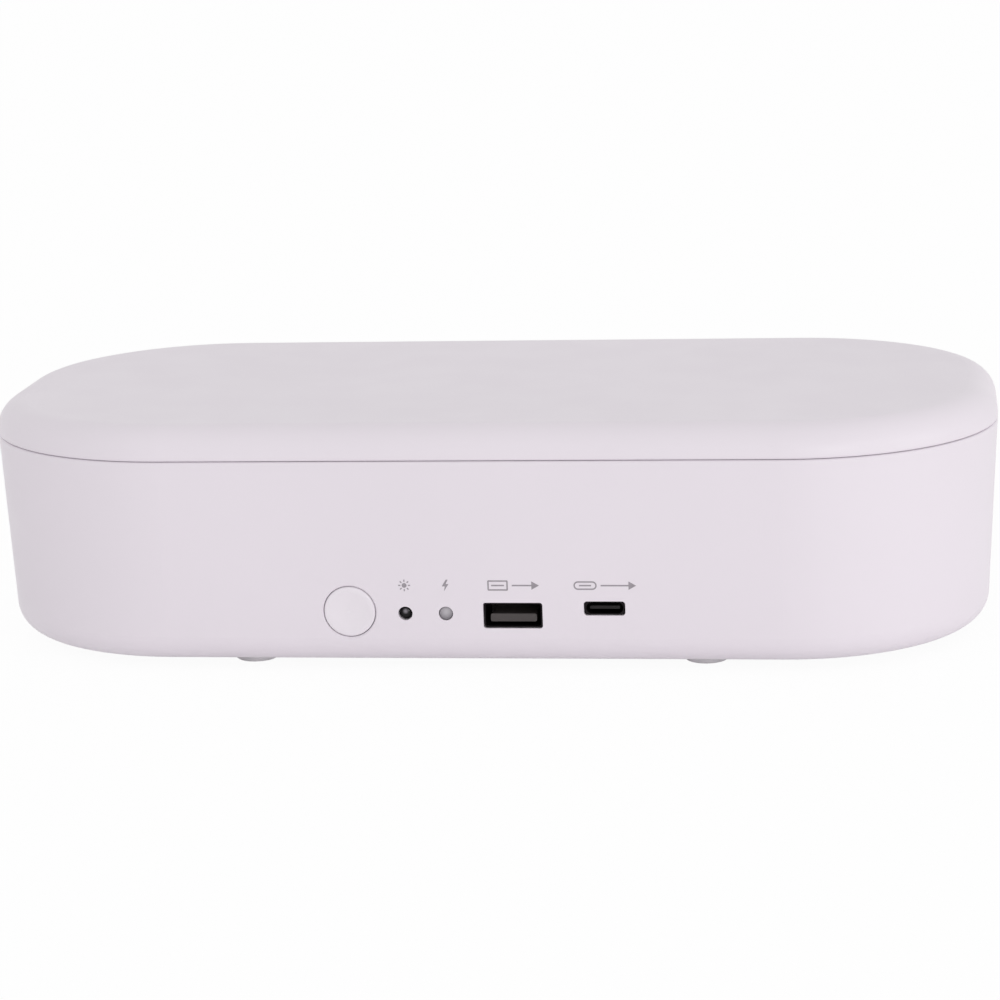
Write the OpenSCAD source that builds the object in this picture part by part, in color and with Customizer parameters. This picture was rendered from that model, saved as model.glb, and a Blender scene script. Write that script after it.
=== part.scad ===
// Ultraviolet sanitizing box for phones, with wide round corners: hinged lid, push button, two
// indicator lamps, two charging sockets in front and a power inlet behind. Millimetres, Z up, +X to the
// right of someone who faces the button, origin on the table under the middle of the outline, hinge
// included.

/* [Case] */
// Overall length of the case
case_len = 236; // [228:1:250]
// Overall width of the case
case_w = 116; // [112:1:122]
// Radius of the case's four corners, seen from above
corner_r = 48; // [46:0.5:50]
// Height of the case from its underside to its rim
case_h = 47.3; // [45.3:0.5:54.3]
// How far each wall leans in between the rim and the underside
wall_lean = 2.2; // [1.6:0.1:3]
// Thickness of the case wall and case floor
wall = 2.4; // [2.2:0.1:2.8]
// Rounding between the wall and the underside
bottom_edge_r = 6.5; // [5:0.5:7.5]
// Rounding of the outer edges that face the seam
seam_edge_r = 0.6; // [0.3:0.1:0.8]
// Shadow gap between the case rim and the lid
seam_gap = 0.1; // [0.1:0.05:0.4]

/* [Lid] */
// Height of the lid from the seam to its top face
lid_h = 7.6; // [7.4:0.1:9]
// Rounding of the lid's top edge
lid_edge_r = 6.6; // [5:0.1:6.6]
// Thickness of the lid shell
lid_wall = 2.2; // [1.8:0.1:2.4]
// How far the lid opens, in degrees
lid_open = 100; // [90:1:110]

/* [Feet] */
// Radius of a foot
foot_r = 5; // [4.5:0.5:7]
// How far a foot stands below the case
foot_h = 2; // [1.6:0.1:3]
// Depth of the recess that holds a foot
foot_recess = 0.8; // [0.5:0.1:1.2]
// Distance of the feet from the middle of the case, along its length
foot_x = 52; // [45:1:60]
// Distance from a long side to the centre of its feet
foot_inset = 15.5; // [13:0.5:17]

/* [Chamber] */
// Thickness of the chamber tub's wall
tub_wall = 1.4; // [1.2:0.1:1.6]
// Thickness of the chamber tub's floor
tub_floor = 2; // [1.8:0.1:2.4]
// Clearance between the tub's wall and the ledge
tub_side_gap = 0.46; // [0.3:0.02:0.8]
// How far the tub's wall leans in from mouth to floor
tub_lean = 1.6; // [1.2:0.1:2.4]
// Rounding between the tub's wall and floor
tub_corner_r = 4; // [3:0.5:6]
// Thickness of the tub's flange
flange_t = 1.6; // [1.4:0.1:2]
// How far the flange lies below the case rim
flange_drop = 1.4; // [1.2:0.1:1.8]
// Width of the ledge that carries the flange
ledge_w = 3; // [2.8:0.1:3.1]
// Height of the ribs that lift a phone off the tub floor
rib_h = 1.6; // [1:0.1:3]
// Width of a rib
rib_w = 1.6; // [1.2:0.1:2.4]
// Length of a rib
rib_len = 24; // [16:1:26]
// Spacing of the ribs along the chamber
rib_pitch = 22; // [16:1:26]
// Number of ribs on each side of the window
rib_count = 6; // [2:1:7]

/* [Windows and lamps] */
// Length of a lamp window
window_len = 156; // [130:1:164]
// Width of a lamp window
window_w = 20; // [18:1:24]
// Thickness of a lamp window
window_t = 1.2; // [1:0.1:1.2]
// Width of the lip that a window rests on
window_lip = 1.6; // [1.2:0.1:2.4]
// Length of a lamp board
lamp_board_len = 150; // [124:1:158]
// Width of a lamp board
lamp_board_w = 24; // [23:0.5:26]
// Number of ultraviolet lamps on a board
lamp_count = 6; // [2:1:8]
// Spacing of the lamps
lamp_pitch = 22; // [18:1:24]
// Side of a square lamp package
lamp_side = 3.5; // [3:0.1:5]
// Height of a lamp package
lamp_h = 1.2; // [1:0.1:1.3]

/* [Lid liner] */
// Thickness of the lid liner's plate
liner_t = 1.2; // [1:0.1:1.4]
// Gap between the tub's flange and the lid liner above it
liner_gap = 0.8; // [0.6:0.1:0.9]
// Depth of the liner's light-blocking lip
lip_h = 3.2; // [2:0.1:3.6]
// Thickness of the lip
lip_t = 1.2; // [1:0.1:1.4]
// Clearance between the lip and the tub's mouth
lip_gap = 0.7; // [0.5:0.1:1]

/* [Hinge] */
// Distance of the hinge axis behind the case
hinge_out = 1.2; // [1:0.1:1.5]
// Radius of a hinge knuckle
knuckle_r = 2.6; // [2.3:0.1:2.8]
// Radius of the hinge pin
pin_r = 1; // [0.8:0.1:1.2]
// Distance of each hinge from the middle of the case
hinge_x = 42; // [34:1:50]
// Width of a lid knuckle
lid_knuckle_w = 12; // [8:1:16]
// Width of a case knuckle
case_knuckle_w = 7; // [5:0.5:9]
// Gap beside and around each knuckle
knuckle_gap = 0.25; // [0.2:0.05:0.35]
// Height of the nib that stops the open lid, beyond the knuckle
nib_h = 1.3; // [1:0.1:1.6]

/* [Front controls] */
// Button position along the front, from the middle
button_x = -27.4; // [-32:0.1:-26]
// Button height above the underside
button_up = 12.4; // [11.5:0.05:12.6]
// Radius of the button
button_r = 5.85; // [5:0.05:6.4]
// Gap round the button
button_gap = 0.15; // [0.1:0.05:0.4]
// How far the button's inner flange reaches past its hole
flange_cover = 0.5; // [0.4:0.05:0.8]
// Travel of the button
button_travel = 0.7; // [0.4:0.1:0.8]
// Position of the ultraviolet indicator along the front
uv_lamp_x = -14.65; // [-17:0.05:-13]
// Position of the charging indicator along the front
charge_lamp_x = -5.45; // [-8:0.05:-4]
// Height of the indicators above the underside
indicator_up = 12.05; // [11:0.05:12.5]
// Radius of an indicator
indicator_r = 1.5; // [1.2:0.1:1.8]
// Gap round an indicator
indicator_gap = 0.12; // [0.1:0.01:0.2]
// How far the ultraviolet indicator sits back in its hole
uv_lamp_set_back = 0.9; // [0.4:0.1:1.2]

/* [Sockets] */
// Position of the wide socket along the front
wide_x = 9.7; // [8.5:0.1:10.5]
// Height of the wide socket above the underside
wide_up = 11.6; // [11:0.05:11.9]
// Outer width of the wide socket
wide_w = 13.1; // [12.8:0.1:13.4]
// Outer height of the wide socket
wide_h = 5.7; // [5.5:0.1:5.8]
// Depth of the wide socket
wide_len = 14; // [12:0.5:16]
// Position of the slim socket along the front
slim_x = 30.35; // [28:0.05:32]
// Height of the slim socket above the underside
slim_up = 13.3; // [12.8:0.05:13.35]
// Outer width of the slim socket
slim_w = 9; // [8.9:0.05:9.2]
// Outer height of the slim socket
slim_h = 3; // [2.95:0.05:3.2]
// Width of the slim socket's mouth
slim_mouth_w = 8.34; // [8.3:0.02:8.4]
// Height of the slim socket's mouth
slim_mouth_h = 2.56; // [2.5:0.02:2.6]
// Depth of the slim socket
slim_len = 7.4; // [6.5:0.1:9]
// Sheet thickness of the wide socket's shell
socket_sheet = 0.3; // [0.2:0.05:0.35]
// Clearance round a socket in the case wall
socket_gap = 0.15; // [0.1:0.05:0.25]
// How far the sockets sit back from the wall's face
socket_set_back = 0.6; // [0.3:0.1:1]

/* [Power inlet] */
// Gap between the inlet body and the board post beside it
inlet_post_gap = 3; // [1.5:0.5:6]
// Width of the inlet body
inlet_w = 9; // [8:0.5:10]
// Height of the inlet body
inlet_h = 10; // [9:0.5:10.5]
// Depth of the inlet body
inlet_len = 13; // [11:0.5:15]
// Radius of the inlet's bore
inlet_bore_r = 3.1; // [2.8:0.1:3.4]
// Radius of the inlet's centre pin
inlet_pin_r = 1.05; // [0.8:0.05:1.25]

/* [Boards] */
// Height of the boards' underside above the case's underside
board_up = 15; // [15:0.1:15.4]
// Thickness of the two larger boards
board_t = 1.6; // [1.2:0.1:1.8]
// Room over the two larger boards, for their parts and screw heads
board_room = 1.6; // [1.5:0.1:2.4]
// Length of the main board
main_board_len = 92; // [88:1:110]
// Width of the main board
main_board_w = 28; // [26:1:30]
// Length of the power board
power_board_len = 80; // [76:1:96]
// Width of the power board
power_board_w = 26; // [24:1:28]
// Radius of the driver coil
coil_r = 5; // [4:0.5:6]
// Height of the driver coil
coil_h = 4.6; // [3.6:0.2:6]
// Radius of a capacitor's can
can_r = 3.15; // [2.5:0.05:4]
// Height of a capacitor's can
can_h = 7.2; // [5:0.1:9]
// Width of the flat cable between the boards
link_w = 12; // [8:1:14]
// Distance from the case wall to the edge of each larger board
board_margin = 2.4; // [2:0.1:2.8]
// Radius of a board post
post_r = 2.5; // [2.2:0.1:3]

/* [Screws] */
// Shank radius of the case screws
case_screw_r = 1.4; // [1.2:0.1:1.6]
// Length of the case screws under the head
case_screw_len = 9; // [7:0.5:12]
// Shank radius of the small screws
small_screw_r = 0.9; // [0.7:0.05:1]
// Length of the board screws under the head
board_screw_len = 6; // [4.5:0.5:8]
// Length of the lamp board screws under the head
lamp_screw_len = 3.2; // [3:0.1:3.3]
// Length of the liner screws under the head
liner_screw_len = 5.4; // [4:0.2:6]

/* [Hidden] */
$fn = 64;

half_w = case_w / 2;
core_x = case_len / 2 - corner_r;
core_y = half_w - corner_r;
z_under = foot_h;
z_floor = z_under + wall;
z_rim = z_under + case_h;
z_lid = z_rim + seam_gap;
z_top = z_lid + lid_h;
lean = wall_lean / case_h;
lean_angle = atan(lean);
skin = 0.01;
screw_gap = 0.05;
fit_gap = 0.25;
elbow_swell = 0.1;
liner_side_gap = 0.4;

// Half the width between the case's outer faces, and between its inner faces, at a height.
function outer_r(z) = half_w - lean * (z_rim - z);
function inner_r(z) = outer_r(z) - wall;

z_flange = z_rim - flange_drop;
z_ledge = z_flange - flange_t;
ledge_face = 2.6;
z_board = z_under + board_up;
z_board_top = z_board + board_t;
lamp_board_t = 1.2;
lamp_clear = 0.6;
z_floor_lamp_board = z_board_top + board_room;
z_tub_under = z_floor_lamp_board + lamp_board_t + lamp_h + lamp_clear;
z_tub_floor = z_tub_under + tub_floor;
tub_mouth_r = inner_r(z_ledge) - ledge_w - tub_side_gap - tub_wall;
tub_slope = tub_lean / (z_flange - z_tub_floor);
function tub_inner_r(z) = tub_mouth_r - tub_slope * (z_flange - z);

z_liner = z_flange + liner_gap;
z_liner_top = z_liner + liner_t;
lid_inner_top = z_top - lid_wall;
liner_edge_r = inner_r(z_rim) - liner_side_gap;
lip_r = tub_mouth_r - lip_gap;
z_lid_lamp = z_liner_top + window_t + lamp_clear;
z_lid_board = z_lid_lamp + lamp_h;
z_lid_board_top = z_lid_board + lamp_board_t;

main_front = -inner_r(z_board) + board_margin;
main_mid = [0, main_front + main_board_w / 2];
power_back = inner_r(z_board) - board_margin;
power_mid = [0, power_back - power_board_w / 2];

hinge_y = half_w + hinge_out;
hinge_z = z_rim + seam_gap / 2;
notch_r = knuckle_r + knuckle_gap;
overhang = hinge_out + knuckle_r + nib_h;
lead_lug_w = 7;
lead_r = 0.9;
small_lead_r = 0.5;
lead_bore_r = 1.2;
lead_turn_x = 3.6;

post_inset = 4;
corner_post_x = core_x + 2;
corner_post_y = half_w - 19;
end_post_x = case_len / 2 - 18;
tub_posts = [
    for (x = [-1, 1], y = [-1, 1]) [x * corner_post_x, y * corner_post_y],
    [-end_post_x, 0],
    [end_post_x, 0]
];
tub_post_r = 3.2;
counterbore_r = 3.1;
counterbore_h = 2;
seat_pad_h = 1.6;
seat_t = wall + seat_pad_h - counterbore_h;
pan_r = 2.4;
pan_h = 1.6;
small_pan_r = 1.7;
small_pan_h = 1.1;

liner_screw_at = [
    for (x = [-1, 1], y = [-1, 1]) [x * (core_x - 10), y * (half_w - 20)],
    [-end_post_x, 0],
    [end_post_x, 0]
];
lamp_boss_r = 1.8;
lamp_screw_at = [lamp_board_len / 2 - 4, window_w / 2 + 0.2];
liner_boss_r = 2.4;
magnet = [10, 1.8, 2.4];
magnet_x = 40;
sensor = [5, 1.8, 2.4];
pocket_r = inner_r(z_ledge) - ledge_w / 2;

// Flat shapes that the mouldings share.
module slot_shape(w, h) {
    square([w - h, h], center = true);
    for (side = [-1, 1])
        translate([side * (w - h) / 2, 0]) circle(h / 2);
}

module soft_rectangle(w, h, r) {
    square([w - 2 * r, h], center = true);
    square([w, h - 2 * r], center = true);
    for (x = [-1, 1], y = [-1, 1])
        translate([x * (w / 2 - r), y * (h / 2 - r)]) circle(r);
}

// Half section with a leaning side and a rounded lower corner. X is the distance from the middle plane.
module leaning_section(z0, z1, r0, r1, edge_r) {
    slope = (r1 - r0) / (z1 - z0);
    stretch = sqrt(1 + slope * slope);
    edge_x = r0 + slope * edge_r - edge_r * stretch;
    polygon([
        [0, z0],
        [edge_x, z0],
        [edge_x + edge_r / stretch, z0 + edge_r - edge_r * slope / stretch],
        [r1, z1],
        [0, z1]
    ]);
    translate([edge_x, z0 + edge_r]) circle(edge_r);
}

// Half section with an upright side and a rounded upper corner.
module crowned_section(z0, z1, r, edge_r) {
    polygon([[0, z0], [r, z0], [r, z1 - edge_r], [r - edge_r, z1], [0, z1]]);
    translate([r - edge_r, z1 - edge_r]) intersection() {
        circle(edge_r);
        square(edge_r);
    }
}

// What a half section has beyond the centres of the case's corners.
module outer_part() {
    intersection() {
        translate([-core_y, 0]) children();
        square([half_w, z_top + 1]);
    }
}

// Takes a half section once round the case: over the middle, along both ends and round the corners.
module case_sweep() {
    rotate([90, 0, 90])
        linear_extrude(height = 2 * core_x, center = true) {
            children();
            mirror([1, 0]) children();
        }
    for (turn = [0, 180])
        rotate([0, 0, turn]) translate([core_x, 0, 0]) rotate([90, 0, 0])
            linear_extrude(height = 2 * core_y, center = true) outer_part() children();
    for (side = [-1, 1], half = [-1, 1])
        translate([side * core_x, half * core_y, 0])
            rotate([0, 0, side > 0 ? (half > 0 ? 0 : -90) : (half > 0 ? 90 : 180)])
                rotate_extrude(angle = 90) outer_part() children();
}

// Places children on the leaning front face, with Z pointing out of it.
module on_front(x, z) {
    translate([x, -outer_r(z), z]) rotate([90 + lean_angle, 0, 0]) children();
}

// Extrudes a shape drawn in the front view backwards along Y, from y0 to y1.
module through_y(x, z, y0, y1) {
    translate([x, y1, z]) rotate([90, 0, 0]) linear_extrude(height = y1 - y0) children();
}

// Extrudes a section drawn in Y and Z round the hinge axis along X, from x0 to x1.
module along_hinge(x0, x1) {
    translate([x0, hinge_y, hinge_z]) rotate([90, 0, 90])
        linear_extrude(height = x1 - x0) children();
}

// A round lead that follows points, with round elbows.
module lead(points, r) {
    for (i = [0 : len(points) - 2]) {
        run = points[i + 1] - points[i];
        length = norm(run);
        tilt = acos(run[2] / length);
        turn = atan2(run[1], run[0]);
        translate(points[i]) rotate([0, tilt, turn]) cylinder(r = r, h = length);
    }
    for (i = [1 : 1 : len(points) - 2])
        translate(points[i]) sphere(r + elbow_swell);
}

// A pan head screw that points down, with the underside of its head at the origin.
module pan_screw(shank_r, length, head_r, head_h) {
    recess = 0.55 * head_h;
    difference() {
        union() {
            translate([0, 0, -length]) cylinder(r = shank_r, h = length + skin);
            rotate_extrude()
                polygon([[0, 0], [head_r, 0], [head_r, head_h / 2], [0.75 * head_r, head_h], [0, head_h]]);
        }
        for (turn = [0, 90])
            rotate([0, 0, turn])
                translate([-0.55 * head_r, -0.13 * head_r, head_h - recess])
                    cube([1.1 * head_r, 0.26 * head_r, head_h]);
    }
}

// Moves the case forward, so that the origin is under the middle of the whole outline.
module on_table() {
    translate([0, -overhang / 2, 0]) children();
}

module each_corner(x, y) {
    for (i = [-1, 1], j = [-1, 1])
        translate([i * x, j * y, 0]) children();
}

module each_foot() {
    each_corner(foot_x, half_w - foot_inset) children();
}

// Hinge knuckles. Sections are drawn round the axis, X pointing back and Y up.
case_knuckle_x = lid_knuckle_w / 2 + knuckle_gap;
pin_len = 2 * (case_knuckle_x + case_knuckle_w);
web_tie = 1.2;
stop_r = knuckle_r + nib_h;
stop_rise = sqrt(stop_r * stop_r - hinge_out * hinge_out);
stop_angle = 90 + atan((hinge_out + crown_sag(hinge_z + stop_rise)) / stop_rise) - lid_open - 0.6;
pad_rise = knuckle_r + 1.4;

function round_axis(r, angle) = [r * cos(angle), r * sin(angle)];

// How far the lid's rounded edge has drawn in from its side at a height.
function crown_rise(z) = max(0, z - (z_top - lid_edge_r));
function crown_sag(z) = lid_edge_r - sqrt(lid_edge_r * lid_edge_r - crown_rise(z) * crown_rise(z));

module case_knuckle_section() {
    tie_z = -sqrt(2) * knuckle_r - hinge_out;
    circle(knuckle_r);
    polygon([
        [-hinge_out - web_tie, -seam_gap / 2],
        [0, 0],
        round_axis(knuckle_r, -45),
        [-hinge_out + lean * (tie_z - web_tie) - 0.3, tie_z - 0.3],
        [-hinge_out - web_tie, tie_z - 0.3]
    ]);
}

module stop_nib_section() {
    polygon([
        [0, 0],
        round_axis(stop_r, stop_angle),
        [stop_r, 0],
        round_axis(knuckle_r, -50)
    ]);
}

module lid_knuckle_section() {
    circle(knuckle_r);
    polygon([
        [-hinge_out - web_tie, seam_gap / 2],
        [0, 0],
        round_axis(knuckle_r, 60),
        [-hinge_out - crown_sag(hinge_z + pad_rise) - 0.05, pad_rise],
        [-hinge_out - web_tie - crown_sag(hinge_z + pad_rise) / 2, pad_rise],
        [-hinge_out - web_tie, pad_rise / 2]
    ]);
}

// Calls its children at each hinge, mirrored so that both read the same from the middle.
module each_hinge() {
    for (side = [-1, 1])
        translate([side * hinge_x, 0, 0]) children();
}

module case_knuckle_spans(grow = 0) {
    for (side = [-1, 1]) {
        inner = case_knuckle_x - grow;
        outer = case_knuckle_x + case_knuckle_w + grow;
        along_hinge(side > 0 ? inner : -outer, side > 0 ? outer : -inner) children();
    }
}

module lid_knuckle_span(grow = 0) {
    along_hinge(-lid_knuckle_w / 2 - grow, lid_knuckle_w / 2 + grow) children();
}

// Path of the lamp lead through the two hollow lugs at the middle of the back.
ledge_mid_r = inner_r(z_ledge) - lead_r - fit_gap;
case_lead_path = [
    [0, hinge_y, hinge_z],
    [-lead_turn_x, hinge_y, hinge_z],
    [-lead_turn_x, ledge_mid_r, hinge_z - (hinge_y - ledge_mid_r)],
    [-lead_turn_x, inner_r(z_board_top + 4) - lead_r - 0.8, z_board_top + 4],
    [-lead_turn_x, power_back - 2.5, z_board_top + lead_r + 0.15],
    [-lead_turn_x, power_back - 6, z_board_top + lead_r + 0.15]
];
lid_lead_z = z_lid_board - lead_r - 0.05;
lid_lead_path = [
    [0, hinge_y, hinge_z],
    [lead_turn_x, hinge_y, hinge_z],
    [lead_turn_x, hinge_y - (lid_lead_z - hinge_z), lid_lead_z],
    [lead_turn_x, window_w / 2 + 0.6, lid_lead_z]
];
sensor_lead_path = [
    [0, -pocket_r, z_ledge - sensor[2] - 0.02],
    [0, -pocket_r + 0.6, z_ledge - sensor[2] - 5],
    [0, -inner_r(z_board_top + 3) + 1.7, z_board_top + 3],
    [0, main_front + 1.6, z_board_top + small_lead_r + elbow_swell]
];

// Case: outer moulding, chamber and what clamps them together.
module base_shell_section() {
    difference() {
        leaning_section(z_under, z_rim, outer_r(z_under), half_w, bottom_edge_r);
        leaning_section(z_floor, z_rim + 1, inner_r(z_floor), inner_r(z_rim + 1), bottom_edge_r - wall);
        difference() {
            translate([half_w - seam_edge_r, z_rim - seam_edge_r]) square(2 * seam_edge_r);
            translate([half_w - seam_edge_r, z_rim - seam_edge_r]) circle(seam_edge_r);
        }
    }
    polygon([
        [inner_r(z_ledge) - ledge_w, z_ledge],
        [inner_r(z_ledge) + 0.5, z_ledge],
        [inner_r(z_ledge) + 0.5, z_ledge - ledge_face - ledge_w - 0.5],
        [inner_r(z_ledge) - ledge_w, z_ledge - ledge_face]
    ]);
}

main_post_at = [main_board_len / 2 - post_inset, main_board_w / 2 - post_inset];
power_post_at = [power_board_len / 2 - post_inset, power_board_w / 2 - post_inset];
inlet_x = power_mid[0] + power_post_at[0] - post_r - inlet_post_gap - inlet_w / 2;

module board_posts() {
    module post() {
        translate([0, 0, z_floor - skin]) cylinder(r = post_r, h = z_board - z_floor + skin);
    }
    translate(main_mid) each_corner(main_post_at[0], main_post_at[1]) post();
    translate(power_mid) each_corner(power_post_at[0], power_post_at[1]) post();
}

module board_post_holes() {
    module hole() {
        translate([0, 0, z_board - board_screw_len])
            cylinder(r = small_screw_r + screw_gap, h = board_screw_len + 1);
    }
    translate(main_mid) each_corner(main_post_at[0], main_post_at[1]) hole();
    translate(power_mid) each_corner(power_post_at[0], power_post_at[1]) hole();
}

module front_openings() {
    on_front(button_x, z_under + button_up)
        translate([0, 0, -2 * wall]) cylinder(r = button_r + button_gap, h = 3 * wall);
    on_front(button_x, z_under + button_up)
        translate([0, 0, -0.3])
            cylinder(r1 = button_r + button_gap, r2 = button_r + button_gap + 0.6, h = 0.6);
    for (x = [uv_lamp_x, charge_lamp_x])
        on_front(x, z_under + indicator_up)
            translate([0, 0, -2 * wall]) cylinder(r = indicator_r + indicator_gap, h = 3 * wall);
    through_y(wide_x, z_under + wide_up, -half_w - 1, -half_w + 3 * wall)
        soft_rectangle(wide_w + 2 * socket_gap, wide_h + 2 * socket_gap, 0.6);
    through_y(slim_x, z_under + slim_up, -half_w - 1, -half_w + 3 * wall)
        soft_rectangle(slim_w + 2 * socket_gap, slim_h + 2 * socket_gap, slim_corner_r + socket_gap);
}

z_inlet = z_board - inlet_h / 2;
inlet_mouth_y = outer_r(z_inlet) - wall / 2;

module back_openings() {
    through_y(inlet_x, z_inlet, inner_r(z_inlet) - 2, half_w + 1) circle(inlet_bore_r + 1);
    through_y(inlet_x, z_inlet, inner_r(z_inlet) - 2, inlet_mouth_y + fit_gap)
        square([inlet_w + 2 * socket_gap, inlet_h + 2 * socket_gap], center = true);
    each_hinge() lid_knuckle_span(knuckle_gap) circle(notch_r);
    along_hinge(-knuckle_gap, lead_lug_w + knuckle_gap) circle(notch_r);
}

module ledge_pockets() {
    for (x = [-magnet_x, magnet_x])
        translate([x - magnet[0] / 2 - 0.15, -pocket_r - magnet[1] / 2 - 0.15, z_ledge - magnet[2]])
            cube([magnet[0] + 0.3, magnet[1] + 0.3, magnet[2] + 1]);
    translate([-sensor[0] / 2 - 0.15, -pocket_r - sensor[1] / 2 - 0.15, z_ledge - sensor[2]])
        cube([sensor[0] + 0.3, sensor[1] + 0.3, sensor[2] + 1]);
    translate([0, -pocket_r + 0.1, z_ledge - 8]) cylinder(r = 0.9, h = 7);
    translate([-lead_turn_x - lead_bore_r, inner_r(z_ledge) - 3.3, z_ledge - 7])
        cube([2 * lead_bore_r, 3.3, 8]);
}

module base_shell() {
    color("lavender") on_table() difference() {
        union() {
            case_sweep() base_shell_section();
            board_posts();
            for (at = tub_posts)
                translate([at[0], at[1], z_floor - skin])
                    cylinder(r = counterbore_r + 1.4, h = seat_pad_h + skin);
            each_hinge() case_knuckle_spans() {
                case_knuckle_section();
                stop_nib_section();
            }
            along_hinge(-lead_lug_w, -knuckle_gap) case_knuckle_section();
        }
        front_openings();
        back_openings();
        board_post_holes();
        ledge_pockets();
        each_hinge() case_knuckle_spans(1) circle(pin_r + screw_gap);
        lead([[lead_turn_x, hinge_y, hinge_z], case_lead_path[1], case_lead_path[2]], lead_bore_r);
        for (at = tub_posts)
            translate([at[0], at[1], z_under - 1]) {
                cylinder(r = case_screw_r + 0.2, h = 3 * wall);
                cylinder(r = counterbore_r, h = 1 + counterbore_h);
            }
        each_foot() translate([0, 0, z_under - 1]) cylinder(r = foot_r + 0.1, h = 1 + foot_recess);
    }
}

module chamber_tub_section() {
    foot_inner_r = tub_inner_r(z_tub_under);
    difference() {
        union() {
            leaning_section(z_tub_under, z_flange, foot_inner_r + tub_wall, tub_mouth_r + tub_wall,
                tub_corner_r + tub_wall);
            translate([0, z_ledge]) square([inner_r(z_ledge) - fit_gap, flange_t]);
        }
        leaning_section(z_tub_floor, z_flange + 1, tub_inner_r(z_tub_floor), tub_inner_r(z_flange + 1),
            tub_corner_r);
    }
}

module each_rib() {
    for (side = [-1, 1], i = [0 : rib_count - 1])
        translate([(i - (rib_count - 1) / 2) * rib_pitch, side * (window_w / 2 + 2 + rib_len / 2), 0])
            rotate([0, 0, 90]) children();
}

module chamber_tub() {
    post_top = z_tub_under + skin;
    post_bottom = z_floor + seat_pad_h;
    color("gainsboro") on_table() difference() {
        union() {
            case_sweep() chamber_tub_section();
            for (at = tub_posts)
                translate([at[0], at[1], post_bottom]) cylinder(r = tub_post_r, h = post_top - post_bottom);
            each_rib() translate([0, 0, z_tub_floor - skin])
                linear_extrude(height = rib_h + skin) slot_shape(rib_len, rib_w);
            each_corner(lamp_screw_at[0], lamp_screw_at[1])
                translate([0, 0, z_tub_under - lamp_clear - lamp_h])
                    cylinder(r = lamp_boss_r, h = lamp_clear + lamp_h + skin);
        }
        for (at = tub_posts)
            translate([at[0], at[1], post_bottom - 1])
                cylinder(r = case_screw_r + screw_gap, h = case_screw_len - seat_t + 2);
        each_corner(lamp_screw_at[0], lamp_screw_at[1])
            translate([0, 0, z_floor_lamp_board])
                cylinder(r = small_screw_r + screw_gap, h = lamp_screw_len + 0.2);
        translate([0, 0, z_tub_floor - window_t])
            linear_extrude(height = window_t + 1) slot_shape(window_len + 0.2, window_w + 0.2);
        translate([0, 0, z_tub_under - 1])
            linear_extrude(height = tub_floor + 2)
                slot_shape(window_len - 2 * window_lip, window_w - 2 * window_lip);
        translate([-lead_turn_x - lead_bore_r, ledge_mid_r - 0.5, z_ledge - 1])
            cube([2 * lead_bore_r, 3, flange_t + 2]);
    }
}

module window_plate(z) {
    translate([0, 0, z]) linear_extrude(height = window_t) slot_shape(window_len, window_w);
}

module lamp_board(z) {
    difference() {
        translate([0, 0, z]) linear_extrude(height = lamp_board_t)
            soft_rectangle(lamp_board_len, lamp_board_w, 1.5);
        each_corner(lamp_screw_at[0], lamp_screw_at[1])
            translate([0, 0, z - 1]) cylinder(r = small_screw_r + 0.15, h = lamp_board_t + 2);
    }
}

module lamp_row(z) {
    for (i = [0 : lamp_count - 1])
        translate([(i - (lamp_count - 1) / 2) * lamp_pitch - lamp_side / 2, -lamp_side / 2, z])
            cube([lamp_side, lamp_side, lamp_h]);
}

module lamp_screws(z) {
    each_corner(lamp_screw_at[0], lamp_screw_at[1])
        translate([0, 0, z]) rotate([180, 0, 0])
            pan_screw(small_screw_r, lamp_screw_len, small_pan_r, small_pan_h);
}

module floor_window() {
    color("lightcyan") on_table() window_plate(z_tub_floor - window_t);
}

module floor_lamp_board() {
    color("seagreen") on_table() lamp_board(z_floor_lamp_board);
}

module floor_uv_lamps() {
    color("khaki") on_table() lamp_row(z_floor_lamp_board + lamp_board_t);
}

module floor_board_screws() {
    color("silver") on_table() lamp_screws(z_floor_lamp_board);
}

// Electronics in the case. Sockets and switch hang below the main board.
z_wide = z_under + wide_up;
z_slim = z_under + slim_up;
z_button = z_under + button_up;
wide_front = -outer_r(z_wide) + socket_set_back;
slim_front = -outer_r(z_slim) + socket_set_back;
slim_corner_r = 0.6;
leg = [0.4, 1.4];
leg_gap = 0.15;

module socket_legs(x, w, y_list, z0, grow) {
    for (side = [-1, 1], y = y_list)
        translate([x + side * (w / 2 - leg[0] / 2), y, (z0 + z_board_top + 0.8) / 2])
            cube([leg[0] + 2 * grow, leg[1] + 2 * grow, z_board_top + 0.8 - z0], center = true);
}

module wide_legs(grow = 0) {
    socket_legs(wide_x, wide_w, [wide_front + 6.5, wide_front + 11], z_wide, grow);
}

module slim_legs(grow = 0) {
    socket_legs(slim_x, slim_w, [slim_front + 6.2], z_slim, grow);
}

module board_plate(mid, len, w, post_at) {
    difference() {
        translate([mid[0], mid[1], z_board]) linear_extrude(height = board_t) soft_rectangle(len, w, 1.5);
        translate([mid[0], mid[1], z_board - 1]) each_corner(post_at[0], post_at[1])
            cylinder(r = small_screw_r + 0.2, h = board_t + 2);
    }
}

module main_board() {
    color("darkgreen") on_table() difference() {
        board_plate(main_mid, main_board_len, main_board_w, main_post_at);
        wide_legs(leg_gap);
        slim_legs(leg_gap);
    }
}

module power_board() {
    color("darkgreen") on_table() board_plate(power_mid, power_board_len, power_board_w, power_post_at);
}

module board_screws() {
    color("silver") on_table() translate([0, 0, z_board_top]) {
        translate(main_mid) each_corner(main_post_at[0], main_post_at[1])
            pan_screw(small_screw_r, board_screw_len, small_pan_r, small_pan_h);
        translate(power_mid) each_corner(power_post_at[0], power_post_at[1])
            pan_screw(small_screw_r, board_screw_len, small_pan_r, small_pan_h);
    }
}

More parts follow.
